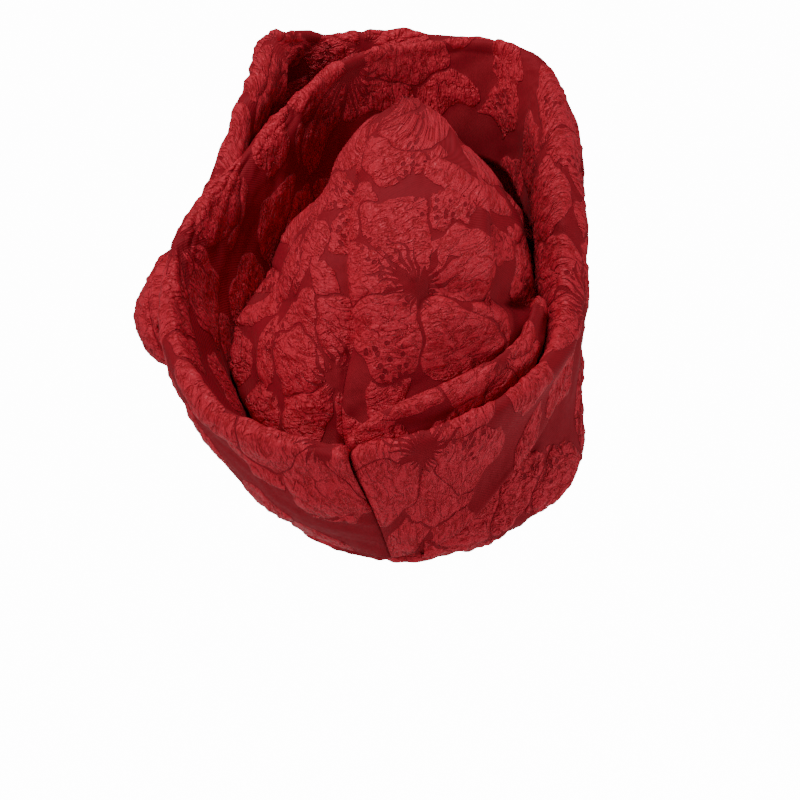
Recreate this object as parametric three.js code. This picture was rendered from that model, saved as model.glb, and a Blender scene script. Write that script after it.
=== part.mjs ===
// A turban cap of figured cloth: a soft cap of two panels, a folded band that sweeps round it from
// the nape up to the front, a tuck between band and cap, and a pleated front wrap that crosses the band.
// Millimetres, +Z up, the wearer faces +Y and +X is the wearer's right. The origin is the middle of the
// head opening, level with the nape. Angles go round the head from the nape (0) by the wearer's right (90)
// to the brow (180).

import * as THREE from "three";
import { ParametricGeometry } from "three/addons/geometries/ParametricGeometry.js";
import { mergeGeometries, mergeVertices } from "three/addons/utils/BufferGeometryUtils.js";

// Driving dimensions

const WALL = 1.8; // thickness of one layer of cloth
const SEAM_GAP = 0.8; // between two cloth edges that meet at a seam
const CLOTH = { color: 0xa3141c, roughness: 0.62, metalness: 0 };

// Turns rows of numbers into objects whose fields have the columns' names.
function table(columns, rows) {
  return rows.map((row) => Object.fromEntries(columns.map((name, i) => [name, row[i]])));
}

// The cap's rings, from the hem up to the short ridge at its top. Each ring is an oval round its own
// middle, higher at the front than at the back. The seam column is the angle at which the back seam
// crosses the ring. A soft fold runs down the right side at the angle ridge, and past it the cloth is sunk.
const CAP_RINGS = table(
  ["middleX", "middleY", "left", "right", "back", "front", "backHeight", "frontHeight", "seam", "ridge",
    "sink"],
  [
    [0, 6, 78, 78, 84, 92, 2, 84, -6, 36, 0],
    [0, 6, 85, 82, 92, 95, 34, 104, -13, 36, 0],
    [-2, 6, 95, 82, 96, 93, 78, 130, -19, 36, 0],
    [-2, 6, 87, 83, 94, 90, 112, 150, -20, 36, 0],
    [-1, 7, 73, 83, 91, 86, 136, 165, -22, 36, 3],
    [0, 8, 68, 82, 84, 80, 160, 180, -28, 36, 9],
    [4, 18, 52, 75, 64, 62, 200, 208, -44, 36, 15],
    [5, 32, 29, 36, 34, 40, 240, 242, -76, 48, 7],
    [3, 44, 2.1, 2.1, 9, 9, 262, 262, -90, 60, 0],
  ],
);
const CAP_FRONT_SEAM = 180;
const CAP_SINK = { run: 30, fadeFrom: 105, fadeTo: 165 }; // degrees past the ridge, and where it ends

// The band is one long folded strip whose ends meet at the back seam. Each section runs from its foot up
// over the belly to the rolled rim, and down inside to a hidden inner edge.
const BAND_SECTIONS = table(
  ["angle", "lean", "footReach", "footHeight", "bellyReach", "bellyHeight", "rimReach", "rimHeight", "roll",
    "innerReach", "innerHeight"],
  [
    [-13.6, 10, 81.4, 5, 101, 34, 113.5, 77, 4, 107.5, 54],
    [14, 4, 93, 20, 103, 50, 110.5, 90, 4, 106, 64],
    [38, 0, 101, 56, 106, 80, 112, 109, 4, 105, 86],
    [60, 0, 102.5, 91, 106, 108, 107.5, 132, 7.5, 96, 106],
    [76, 0, 104, 123, 105.5, 136, 101, 159, 11, 89.5, 120],
    [90, 0, 103, 142, 104, 160, 97.5, 189, 13.5, 86, 132],
    [106, 0, 102, 150, 104.5, 184, 101, 226, 13.5, 87.5, 166],
    [120, 0, 104, 165, 109.5, 206, 112, 258, 11.5, 91, 188],
    [134, 0, 107, 172, 114.5, 224, 120, 282.5, 9, 96, 210],
    [150, 0, 105, 168, 112, 230, 117, 293.5, 6, 94, 222],
    [174, 0, 102, 150, 105, 220, 104, 291.5, 5.5, 88, 226],
    [200, 0, 104.5, 114, 105, 200, 95, 283, 6, 82, 206],
    [224, 0, 103.5, 104, 107, 160, 90, 261, 6, 81.5, 180],
    [246, 0, 88.4, 64, 110, 140, 100.5, 232, 6, 88.5, 149],
    [262, 0, 83, 51, 118, 118, 118, 204, 6, 97, 127],
    [276, 0, 81.2, 41, 127, 100, 134.5, 172, 6, 102, 106],
    [290, 0, 80.2, 31, 127, 80, 140.5, 136, 6.5, 101, 88],
    [306, 0, 80, 21, 120, 53, 136, 103, 6, 100, 72],
    [326, 6, 80.6, 11, 110.5, 35, 128, 86, 5.5, 100, 62],
    [346, 10, 81.6, 5, 101, 34, 115, 77, 5, 107.5, 54],
  ],
);

// The tuck is a fold of cloth that stands between the band and the cap on the right of the back seam.
const TUCK_SECTIONS = table(
  ["angle", "footReach", "footHeight", "rimReach", "rimHeight", "roll", "innerReach", "innerHeight"],
  [
    [-17, 103.4, 58, 102.6, 79, 1.6, 100.8, 62],
    [-5, 102.9, 62, 100.4, 97, 2.4, 97.6, 70],
    [10, 102.5, 66, 98.6, 108, 3.2, 95.2, 74],
    [24, 102.3, 78, 97, 117, 3.2, 93.4, 86],
    [38, 101, 92, 96.5, 125, 3.2, 92.6, 98],
    [50, 97, 105, 94.5, 133, 3, 91.5, 113],
    [61, 93, 114, 90, 145, 2.6, 88, 125],
    [69, 90, 126, 87.6, 151, 1.8, 86, 136],
  ],
);

// The front wrap starts under the band at the nape, passes low over the wearer's right side and the brow,
// and rises on the left, where its rim rolls over above the band. Its end closes against the band.
const WRAP_SECTIONS = table(
  ["angle", "footReach", "footHeight", "bellyReach", "bellyHeight", "shoulderReach", "shoulderHeight",
    "rimReach", "rimHeight", "roll", "innerReach", "innerHeight"],
  [
    [22, 80.6, 5, 88, 10, 91.5, 25, 91, 42, 1.6, 89, 34],
    [40, 80, 10.5, 94, 17, 96, 40, 94, 66, 1.6, 91.8, 57],
    [56, 79.8, 20, 99.5, 28, 100, 56, 95, 90, 1.6, 92.8, 80],
    [70, 80, 29, 108, 40, 104.5, 70, 99.5, 104, 1.6, 97, 94],
    [80, 80.6, 36, 109, 50, 106, 84, 102.5, 122, 1.8, 99.5, 110],
    [86, 81.2, 40.5, 107.5, 62, 106.5, 99, 108, 139, 1.8, 106, 128],
    [92, 81.8, 45, 107, 74, 108, 115, 110, 158, 1.8, 107.6, 147],
    [106, 84.6, 55, 109, 92, 111, 148, 114, 194, 2, 111.4, 182],
    [120, 88.4, 64, 112, 108, 117, 170, 126, 232, 2.5, 122.4, 217],
    [134, 92.6, 72, 114, 122, 122, 190, 133.5, 268.5, 3, 130, 248],
    [150, 97.2, 79, 117, 132, 124, 205, 131.5, 288.5, 4, 127, 264],
    [175, 101, 85, 119, 142, 123, 220, 121.5, 295, 4, 115, 262],
    [200, 99.4, 83, 120, 142, 124, 225, 119.5, 296, 4, 114, 260],
    [212, 103, 89, 125, 147, 126, 225, 119, 299, 4, 114, 256],
    [219, 105.5, 94, 128, 149, 125, 225, 117, 299, 6.5, 106.5, 246],
    [226, 109, 98, 132, 150, 123, 225, 113, 297, 7.5, 104.5, 240],
    [234, 116, 102, 139, 150, 122, 215, 108.5, 276, 6, 106, 232],
    [242, 124, 104, 146, 146, 125.5, 203, 111.5, 254, 4, 111.8, 224],
    [252, 136, 106, 155, 140, 132, 182, 120, 212, 1.8, 121, 201],
    [262, 144, 106, 159.5, 134, 142, 162, 131, 181, 1.6, 132, 174],
    [268, 148, 107, 160.5, 132, 151, 155, 140.5, 171, 1.6, 139.8, 163],
    [273, 145, 107, 156, 127, 151, 143, 145, 155, 1.5, 144.5, 148],
    [278, 136, 106, 142, 116, 144, 125, 144.5, 133, 1.4, 143.3, 128],
  ],
);

// Its pleats fan out from the place on the rim where the wrap's end is tucked in, and on the left they go
// on over the rim. The last two numbers are shares of the way across at which they fade.
const PLEATS = {
  angle: 224, height: 262, reach: 118, start: -196, step: 28, depth: 4, rise: 0.72, near: 45, far: 210,
  fadeRight: 0.65, fadeLeft: 0.85,
};

// Numbers of facets along and across each piece
const CAP_FACETS = { along: 20, across: 16 };
const BAND_FACETS = { along: 66, across: 15 };
const TUCK_FACETS = { along: 20, across: 8 };
const WRAP_FACETS = { along: 66, across: 12 };

// Places and curves

function polar(angle, reach, height) {
  const turn = THREE.MathUtils.degToRad(angle);
  return new THREE.Vector3(reach * Math.sin(turn), -reach * Math.cos(turn), height);
}

function curveThrough(points) {
  return new THREE.CatmullRomCurve3(points, false, "centripetal");
}

// A row of a table of sections at any angle, each column on a smooth curve through the rows.
function sectionAt(sections, angle) {
  const last = sections.length - 1;
  const passed = sections.filter((row) => row.angle <= angle).length;
  const next = Math.min(Math.max(passed, 1), last);
  const rows = [next - 2, next - 1, next, next + 1].map((i) => sections[Math.min(Math.max(i, 0), last)]);
  const [before, low, high, after] = rows;
  const span = high.angle - low.angle;
  const t = span ? (angle - low.angle) / span : 0;
  const blended = { angle };
  for (const name of Object.keys(low).filter((column) => column !== "angle")) {
    const slopeLow = (high[name] - before[name]) / (high.angle - before.angle) * span;
    const slopeHigh = (after[name] - low[name]) / (after.angle - low.angle) * span;
    blended[name] = (2 * t ** 3 - 3 * t ** 2 + 1) * low[name] + (t ** 3 - 2 * t ** 2 + t) * slopeLow
      + (3 * t ** 2 - 2 * t ** 3) * high[name] + (t ** 3 - t ** 2) * slopeHigh;
  }
  return blended;
}

// A folded wall round the head: along runs from the first section to the last, across from the foot over
// the rim. Stations are given as reach, height and the share of the section's lean that turns them.
function foldedWall(sections, stations) {
  const first = sections[0].angle;
  const sweep = sections[sections.length - 1].angle - first;
  return (along, across) => {
    const row = sectionAt(sections, first + along * sweep);
    const points = stations(row).map(([reach, height, turned = 0]) => (
      polar(row.angle + turned * (row.lean ?? 0), reach, height)
    ));
    return curveThrough(points).getPoint(across);
  };
}

// The rolled edge at the top of a section, from its outer side over to its inner side.
function rolledRim(row) {
  return [
    [row.rimReach + row.roll, row.rimHeight - row.roll],
    [row.rimReach, row.rimHeight],
    [row.rimReach - row.roll, row.rimHeight - row.roll],
  ];
}

// Solids

function normalAt(surface, along, across) {
  const step = 1e-3;
  const alongLow = Math.max(along - step, 0);
  const acrossLow = Math.max(across - step, 0);
  const alongWay = surface(Math.min(along + step, 1), across).sub(surface(alongLow, across));
  const acrossWay = surface(along, Math.min(across + step, 1)).sub(surface(along, acrossLow));
  return alongWay.cross(acrossWay).normalize();
}

// One layer of cloth as a closed solid: the surface is offset to its outer and its inner side, and the four
// borders between the two sides are closed. Seen from outside, across runs to the left of along.
function clothSolid(surface, facets) {
  const { along: longCount, across: shortCount } = facets;
  const offset = (along, across, side) => (
    surface(along, across).addScaledVector(normalAt(surface, along, across), side * WALL / 2)
  );
  const sheet = (place, columns, rows) => (
    new ParametricGeometry((u, v, target) => target.copy(place(u, v)), columns, rows)
  );
  const sides = [
    sheet((u, v) => offset(u, v, 1), longCount, shortCount),
    sheet((u, v) => offset(v, u, -1), shortCount, longCount),
    sheet((u, v) => offset(u, 0, 2 * v - 1), longCount, 1),
    sheet((u, v) => offset(u, 1, 1 - 2 * v), longCount, 1),
    sheet((u, v) => offset(0, u, 1 - 2 * v), shortCount, 1),
    sheet((u, v) => offset(1, u, 2 * v - 1), shortCount, 1),
  ];
  const joined = mergeGeometries(sides);
  joined.deleteAttribute("normal");
  joined.deleteAttribute("uv");
  const solid = mergeVertices(joined, 1e-3);
  solid.computeVertexNormals();
  return solid;
}

function clothPiece(name, surface, facets) {
  const piece = new THREE.Mesh(clothSolid(surface, facets), new THREE.MeshStandardMaterial(CLOTH));
  piece.name = name;
  return piece;
}

// The cap

function onRing(ring, angle) {
  const { degToRad, smoothstep } = THREE.MathUtils;
  const turn = degToRad(angle);
  const [side, back] = [Math.sin(turn), Math.cos(turn)];
  const tilt = (ring.backHeight - ring.frontHeight) / 2;
  const past = smoothstep(angle, ring.ridge, ring.ridge + CAP_SINK.run);
  const sunk = past * (1 - smoothstep(angle, CAP_SINK.fadeFrom, CAP_SINK.fadeTo));
  const width = 1 - sunk * ring.sink / ring.right;
  return new THREE.Vector3(
    ring.middleX + width * side * (side > 0 ? ring.right : ring.left),
    ring.middleY - width * back * (back > 0 ? ring.back : ring.front),
    (ring.backHeight + ring.frontHeight) / 2 + tilt * back,
  );
}

// One of the cap's two panels, from the back seam round one side to the front seam. Its two edges are drawn
// back from the seams by half of the gap.
function capPanel(side) {
  return (along, across) => {
    const share = side > 0 ? along : 1 - along;
    const points = CAP_RINGS.map((ring) => {
      const angle = ring.seam + share * (side * CAP_FRONT_SEAM - ring.seam);
      const alongRing = polar(angle + 90, side * (1 - 2 * share) * SEAM_GAP / 2, 0);
      return onRing(ring, angle).add(alongRing);
    });
    return curveThrough(points).getPoint(across);
  };
}

// The band and the tuck

const bandWall = foldedWall(BAND_SECTIONS, (row) => [
  [row.footReach, row.footHeight, 1],
  [row.bellyReach, row.bellyHeight, 0.6],
  ...rolledRim(row),
  [row.innerReach, row.innerHeight],
]);

const tuckWall = foldedWall(TUCK_SECTIONS, (row) => [
  [row.footReach, row.footHeight],
  ...rolledRim(row),
  [row.innerReach, row.innerHeight],
]);

// The front wrap

// How far the cloth stands out at a place on the wrap: sharp ridges that fan out from the tucked end.
function pleatHeight(place) {
  const angle = THREE.MathUtils.euclideanModulo(
    THREE.MathUtils.radToDeg(Math.atan2(place.x, -place.y)), 360,
  );
  const away = THREE.MathUtils.degToRad(angle - PLEATS.angle) * PLEATS.reach;
  const up = place.z - PLEATS.height;
  const turned = THREE.MathUtils.radToDeg(Math.atan2(up, away)) - PLEATS.start;
  const share = THREE.MathUtils.euclideanModulo(turned / PLEATS.step, 1);
  const ridge = share < PLEATS.rise ? share / PLEATS.rise : (1 - share) / (1 - PLEATS.rise);
  const distance = Math.hypot(away, up);
  return PLEATS.depth * ridge * (1 - Math.exp(-distance / PLEATS.near)) * Math.exp(-distance / PLEATS.far);
}

const smoothWrap = foldedWall(WRAP_SECTIONS, (row) => [
  [row.footReach, row.footHeight],
  [row.bellyReach, row.bellyHeight],
  [row.shoulderReach, row.shoulderHeight],
  ...rolledRim(row),
  [row.innerReach, row.innerHeight],
]);

function wrapWall(along, across) {
  const place = smoothWrap(along, across);
  const { smoothstep } = THREE.MathUtils;
  const fades = PLEATS.fadeRight + (PLEATS.fadeLeft - PLEATS.fadeRight) * smoothstep(-place.x, 0, 60);
  const shown = smoothstep(across, 0, 0.3) * (1 - smoothstep(across, fades, 0.15 + fades));
  const lift = normalAt(smoothWrap, along, across).multiplyScalar(shown * pleatHeight(place));
  return place.add(lift);
}

const turban = new THREE.Group();
turban.add(
  clothPiece("cap_left_panel", capPanel(-1), CAP_FACETS),
  clothPiece("cap_right_panel", capPanel(1), CAP_FACETS),
  clothPiece("back_band", bandWall, BAND_FACETS),
  clothPiece("inner_tuck", tuckWall, TUCK_FACETS),
  clothPiece("front_wrap", wrapWall, WRAP_FACETS),
);

export default turban;
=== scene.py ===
# %% [markdown]
# A turban cap, sewn ready to wear from a red figured cloth: a soft pointed cap, a tall folded
# band that sweeps round it, a tuck at the back and a pleated wrap across the front. The solid
# model is loaded first, because every soft piece made here stands for one of its nodes and must
# stay in the same place.

# %% Load the solid model
import math
import bmesh
import bpy
import numpy as np
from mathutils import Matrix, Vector
from mathutils.bvhtree import BVHTree


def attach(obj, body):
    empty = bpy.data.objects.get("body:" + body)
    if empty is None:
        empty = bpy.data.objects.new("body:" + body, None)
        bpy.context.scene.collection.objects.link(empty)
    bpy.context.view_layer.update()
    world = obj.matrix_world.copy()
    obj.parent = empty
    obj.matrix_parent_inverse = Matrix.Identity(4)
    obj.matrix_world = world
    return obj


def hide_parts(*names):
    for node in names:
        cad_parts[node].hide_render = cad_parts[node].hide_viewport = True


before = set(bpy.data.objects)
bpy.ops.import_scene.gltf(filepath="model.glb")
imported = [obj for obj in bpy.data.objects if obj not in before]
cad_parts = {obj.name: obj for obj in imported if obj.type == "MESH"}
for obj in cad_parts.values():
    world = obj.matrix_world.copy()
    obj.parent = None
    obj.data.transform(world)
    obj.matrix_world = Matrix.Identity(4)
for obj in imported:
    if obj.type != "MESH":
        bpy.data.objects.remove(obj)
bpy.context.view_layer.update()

# %% [markdown]
# The wrap is seen from behind and a little from above. A long lens from 1.4 m away keeps the
# band's rim almost without perspective, as a studio photograph does. The camera looks along +Y,
# which is the way the wearer faces, and is tilted down by its elevation.

# %% Camera
MM = 0.001
SIGHT = {"target": Vector((0, 0, 0.082)), "distance": 1.4, "elevation": 12.0, "lens": 103.3, "sensor": 36}

camera = bpy.data.objects.new("camera", bpy.data.cameras.new("camera"))
camera.data.lens = SIGHT["lens"]
camera.data.sensor_width = SIGHT["sensor"]
rise = math.radians(SIGHT["elevation"])
towards_camera = Vector((0, -math.cos(rise), math.sin(rise)))
camera.location = SIGHT["target"] + SIGHT["distance"] * towards_camera
camera.rotation_euler = towards_camera.to_track_quat("Z", "Y").to_euler()
bpy.context.scene.collection.objects.link(camera)
bpy.context.scene.camera = camera
print("camera stands at", tuple(round(x, 3) for x in camera.location))

# %% [markdown]
# A white studio. A weak, even white surround fills the shadows, one lamp to the left and one to
# the right shape the folds, and a third overhead lights the rims and the top of the cap. Small
# lamps are used, because broad ones would wash the crinkles out.

# %% Lamps
SURROUND = 0.15
LAMPS = {
    "left_lamp": {"place": (-1.0, -0.8, 0.4), "size": 0.4, "power": 6.8},
    "right_lamp": {"place": (1.3, -0.35, 0.15), "size": 0.4, "power": 7},
    "top_lamp": {"place": (-0.2, -0.1, 1.4), "size": 0.4, "power": 11},
}
WRAP_MIDDLE = Vector((0, 0, 0.13))

world = bpy.data.worlds.new("studio")
world.use_nodes = True
world.node_tree.nodes["Background"].inputs["Color"].default_value = (1, 1, 1, 1)
world.node_tree.nodes["Background"].inputs["Strength"].default_value = SURROUND
bpy.context.scene.world = world

for name, lamp in LAMPS.items():
    light = bpy.data.lights.new(name, "AREA")
    light.size = lamp["size"]
    light.energy = lamp["power"]
    holder = bpy.data.objects.new(name, light)
    holder.location = lamp["place"]
    aim = Vector(lamp["place"]) - WRAP_MIDDLE
    holder.rotation_euler = aim.to_track_quat("Z", "Y").to_euler()
    bpy.context.scene.collection.objects.link(holder)
    print(name, "shines from", round(aim.length, 2), "m away")

# %% [markdown]
# The white backdrop is a floor that lies well below, because a head holds the wrap up. It could
# be a lit white sheet, but that would throw much light up into the folds. So it glows by itself:
# brightly for the rays that come from the camera, and only faintly for all the others.

# %% Floor
FLOOR = {"height": -0.42, "half": 30, "paint": (0.8, 0.8, 0.8, 1), "roughness": 0.9,
         "seen_glow": 14.0, "faint_glow": 0.15}

floor_mesh = bmesh.new()
bmesh.ops.create_grid(floor_mesh, x_segments=1, y_segments=1, size=FLOOR["half"])
bmesh.ops.translate(floor_mesh, verts=floor_mesh.verts, vec=(0, 0, FLOOR["height"]))
floor = bpy.data.objects.new("floor", bpy.data.meshes.new("floor"))
floor_mesh.to_mesh(floor.data)
floor_mesh.free()
bpy.context.scene.collection.objects.link(floor)
pale = bpy.data.materials.new("pale_floor")
pale.use_nodes = True
plain = pale.node_tree.nodes["Principled BSDF"]
plain.inputs["Base Color"].default_value = FLOOR["paint"]
plain.inputs["Roughness"].default_value = FLOOR["roughness"]
plain.inputs["Emission Color"].default_value = (1, 1, 1, 1)
seen = pale.node_tree.nodes.new("ShaderNodeLightPath")
bright = pale.node_tree.nodes.new("ShaderNodeMath")
bright.operation = "MULTIPLY_ADD"
bright.inputs[1].default_value = FLOOR["seen_glow"]
bright.inputs[2].default_value = FLOOR["faint_glow"]
pale.node_tree.links.new(seen.outputs["Is Camera Ray"], bright.inputs[0])
pale.node_tree.links.new(bright.outputs[0], plain.inputs["Emission Strength"])
floor.data.materials.append(pale)
print("floor lies at", FLOOR["height"], "m")

# %% [markdown]
# Every wall of the wrap is one strip of cloth that goes round the head, so its shape is told as
# a table: one row for each direction, with how far out and how high the strip's foot, belly and
# rim are. Directions are degrees round the head, from the nape by the wearer's right side to the
# brow at 180. The cap's rows are rings instead, from its hem up to its point. A cloth simulation
# could drape the strips, but it wouldn't fold them as this wrap was folded by hand. These are
# the rows that the solid model has too.


# %% Rings of the cap
def table(columns, rows):
    rows = np.array(rows, dtype=float)
    return {name: rows[:, i] for i, name in enumerate(columns.split())}


CAP_RINGS = table("middleX middleY left right back front backHeight frontHeight seam ridge sink", [
    [0, 6, 78, 78, 84, 92, 2, 84, -6, 36, 0],
    [0, 6, 85, 82, 92, 95, 34, 104, -13, 36, 0],
    [-2, 6, 95, 82, 96, 93, 78, 130, -19, 36, 0],
    [-2, 6, 87, 83, 94, 90, 112, 150, -20, 36, 0],
    [-1, 7, 73, 83, 91, 86, 136, 165, -22, 36, 3],
    [0, 8, 68, 82, 84, 80, 160, 180, -28, 36, 9],
    [4, 18, 52, 75, 64, 62, 200, 208, -44, 36, 15],
    [5, 32, 29, 36, 34, 40, 240, 242, -76, 48, 7],
    [3, 44, 0.6, 0.6, 9, 9, 262, 262, -90, 60, 0],
])
print("cap has", len(CAP_RINGS["seam"]), "rings")

# %% Sections of the band
BAND_SECTIONS = table(
    "angle lean footReach footHeight bellyReach bellyHeight rimReach rimHeight roll "
    "innerReach innerHeight", [
        [-13.6, 10, 81.4, 5, 101, 34, 113.5, 77, 4, 107.5, 54],
        [14, 4, 93, 20, 103, 50, 110.5, 90, 4, 106, 64],
        [38, 0, 101, 56, 106, 80, 112, 109, 4, 105, 86],
        [60, 0, 102.5, 91, 106, 108, 107.5, 132, 7.5, 96, 106],
        [76, 0, 104, 123, 105.5, 136, 101, 159, 11, 89.5, 120],
        [90, 0, 103, 142, 104, 160, 97.5, 189, 13.5, 86, 132],
        [106, 0, 102, 150, 104.5, 184, 101, 226, 13.5, 87.5, 166],
        [120, 0, 104, 165, 109.5, 206, 112, 258, 11.5, 91, 188],
        [134, 0, 107, 172, 114.5, 224, 120, 282.5, 9, 96, 210],
        [150, 0, 105, 168, 112, 230, 117, 293.5, 6, 94, 222],
        [174, 0, 102, 150, 105, 220, 104, 291.5, 5.5, 88, 226],
        [200, 0, 104.5, 114, 105, 200, 95, 283, 6, 82, 206],
        [224, 0, 103.5, 104, 107, 160, 90, 261, 6, 81.5, 180],
        [246, 0, 88.4, 64, 110, 140, 100.5, 232, 6, 88.5, 149],
        [262, 0, 83, 51, 118, 118, 118, 204, 6, 97, 127],
        [276, 0, 81.2, 41, 127, 100, 134.5, 172, 6, 102, 106],
        [290, 0, 80.2, 31, 127, 80, 140.5, 136, 6.5, 101, 88],
        [306, 0, 80, 21, 120, 53, 136, 103, 6, 100, 72],
        [326, 6, 80.6, 11, 110.5, 35, 128, 86, 5.5, 100, 62],
        [346, 10, 81.6, 5, 101, 34, 115, 77, 5, 107.5, 54],
    ])
print("band has", len(BAND_SECTIONS["angle"]), "sections")

# %% Sections of the tuck and the wrap
TUCK_SECTIONS = table("angle footReach footHeight rimReach rimHeight roll innerReach innerHeight", [
    [-17, 103.4, 58, 102.6, 79, 1.6, 100.8, 62],
    [-5, 102.9, 62, 100.4, 97, 2.4, 97.6, 70],
    [10, 102.5, 66, 98.6, 108, 3.2, 95.2, 74],
    [24, 102.3, 78, 97, 117, 3.2, 93.4, 86],
    [38, 101, 92, 96.5, 125, 3.2, 92.6, 98],
    [50, 97, 105, 94.5, 133, 3, 91.5, 113],
    [61, 93, 114, 90, 145, 2.6, 88, 125],
    [69, 90, 126, 87.6, 151, 1.8, 86, 136],
])

WRAP_SECTIONS = table(
    "angle footReach footHeight bellyReach bellyHeight shoulderReach shoulderHeight "
    "rimReach rimHeight roll innerReach innerHeight", [
        [22, 80.6, 5, 88, 10, 91.5, 25, 91, 42, 1.6, 89, 34],
        [40, 80, 10.5, 94, 17, 96, 40, 94, 66, 1.6, 91.8, 57],
        [56, 79.8, 20, 99.5, 28, 100, 56, 95, 90, 1.6, 92.8, 80],
        [70, 80, 29, 108, 40, 104.5, 70, 99.5, 104, 1.6, 97, 94],
        [80, 80.6, 36, 109, 50, 106, 84, 102.5, 122, 1.8, 99.5, 110],
        [86, 81.2, 40.5, 107.5, 62, 106.5, 99, 108, 139, 1.8, 106, 128],
        [92, 81.8, 45, 107, 74, 108, 115, 110, 158, 1.8, 107.6, 147],
        [106, 84.6, 55, 109, 92, 111, 148, 114, 194, 2, 111.4, 182],
        [120, 88.4, 64, 112, 108, 117, 170, 126, 232, 2.5, 122.4, 217],
        [134, 92.6, 72, 114, 122, 122, 190, 133.5, 268.5, 3, 130, 248],
        [150, 97.2, 79, 117, 132, 124, 205, 131.5, 288.5, 4, 127, 264],
        [175, 101, 85, 119, 142, 123, 220, 121.5, 295, 4, 115, 262],
        [200, 99.4, 83, 120, 142, 124, 225, 119.5, 296, 4, 114, 260],
        [212, 103, 89, 125, 147, 126, 225, 119, 299, 4, 114, 256],
        [219, 105.5, 94, 128, 149, 125, 225, 117, 299, 6.5, 106.5, 246],
        [226, 109, 98, 132, 150, 123, 225, 113, 297, 7.5, 104.5, 240],
        [234, 116, 102, 139, 150, 122, 215, 108.5, 276, 6, 106, 232],
        [242, 124, 104, 146, 146, 125.5, 203, 111.5, 254, 4, 111.8, 224],
        [252, 136, 106, 155, 140, 132, 182, 120, 212, 1.8, 121, 201],
        [262, 144, 106, 159.5, 134, 142, 162, 131, 181, 1.6, 132, 174],
        [268, 148, 107, 160.5, 132, 151, 155, 140.5, 171, 1.6, 139.8, 163],
        [273, 145, 107, 156, 127, 151, 143, 145, 155, 1.5, 144.5, 148],
        [278, 136, 106, 142, 116, 144, 125, 144.5, 133, 1.4, 143.3, 128],
    ])
print("tuck has", len(TUCK_SECTIONS["angle"]), "sections and the wrap", len(WRAP_SECTIONS["angle"]))

# %% [markdown]
# Between the rows the cloth runs in smooth curves. Two kinds are needed: one that blends whole
# rows round the head, and one that goes through the stations of a single section, from the foot
# over the rim. The second is the centripetal Catmull-Rom curve, which makes no loops where
# stations lie close together, as they do at a rolled rim.


# %% Curves round the head
def row_at(sections, angle):
    stops = sections["angle"]
    high = np.clip(np.searchsorted(stops, angle, side="right"), 1, len(stops) - 1)
    low = high - 1
    before, after = np.maximum(low - 1, 0), np.minimum(high + 1, len(stops) - 1)
    span = stops[high] - stops[low]
    t = (angle - stops[low]) / span
    row = {"angle": angle}
    for name, value in sections.items():
        if name == "angle":
            continue
        slope_low = (value[high] - value[before]) / (stops[high] - stops[before]) * span
        slope_high = (value[after] - value[low]) / (stops[after] - stops[low]) * span
        row[name] = ((2 * t**3 - 3 * t**2 + 1) * value[low] + (t**3 - 2 * t**2 + t) * slope_low
                     + (3 * t**2 - 2 * t**3) * value[high] + (t**3 - t**2) * slope_high)
    return row


side_row = row_at(BAND_SECTIONS, np.full(1, 98.0))
print("between two rows the band's rim is", round(float(side_row["rimHeight"][0]), 1), "mm high")


# %% Curves through a section
def root_of_length(start, end):
    return np.maximum(np.linalg.norm(end - start, axis=1, keepdims=True), 1e-4) ** 0.5


def curve_through(stations, share):
    count = len(stations)
    points = np.stack([2 * stations[0] - stations[1], *stations, 2 * stations[-1] - stations[-2]])
    where = np.clip(share, 0, 1) * (count - 1)
    piece = np.minimum(where.astype(int), count - 2)
    t = (where - piece)[:, None]
    each = np.arange(len(share))
    a, b, c, d = (points[piece + i, each] for i in range(4))
    step_ab, step_bc, step_cd = (root_of_length(*pair) for pair in ((a, b), (b, c), (c, d)))
    leave = ((b - a) / step_ab - (c - a) / (step_ab + step_bc) + (c - b) / step_bc) * step_bc
    arrive = ((c - b) / step_bc - (d - b) / (step_bc + step_cd) + (d - c) / step_cd) * step_bc
    return b + leave * t + (3 * (c - b) - 2 * leave - arrive) * t**2 + (2 * (b - c) + leave + arrive) * t**3


hill = [np.array([[0.0, 0.0]]), np.array([[1.0, 1.0]]), np.array([[2.0, 0.0]])]
print("a curve over a hill passes through", curve_through(hill, np.full(1, 0.25)).round(2)[0])

# %% [markdown]
# With these curves, each piece of cloth is a function: it takes two shares, along the strip and
# across it, and gives a place in millimetres. The folded walls differ only in their stations. A
# function is used instead of a fixed mesh, because the grid laid on it can then be as fine as
# each piece needs.


# %% Surfaces of the folded walls
def direction(sections, along):
    first, last = sections["angle"][0], sections["angle"][-1]
    return first + along * (last - first)


def polar(angle, reach, height):
    turn = np.radians(angle)
    return np.stack([reach * np.sin(turn), -reach * np.cos(turn), height + 0 * turn], axis=-1)


def rolled_rim(row):
    return [(row["rimReach"] + row["roll"], row["rimHeight"] - row["roll"], 0),
            (row["rimReach"], row["rimHeight"], 0),
            (row["rimReach"] - row["roll"], row["rimHeight"] - row["roll"], 0)]


def folded_wall(sections, stations):
    def surface(along, across):
        row = row_at(sections, direction(sections, along))
        lean = row.get("lean", 0)
        places = [polar(row["angle"] + turned * lean, reach, height)
                  for reach, height, turned in stations(row)]
        return curve_through(places, across)
    return surface


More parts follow.
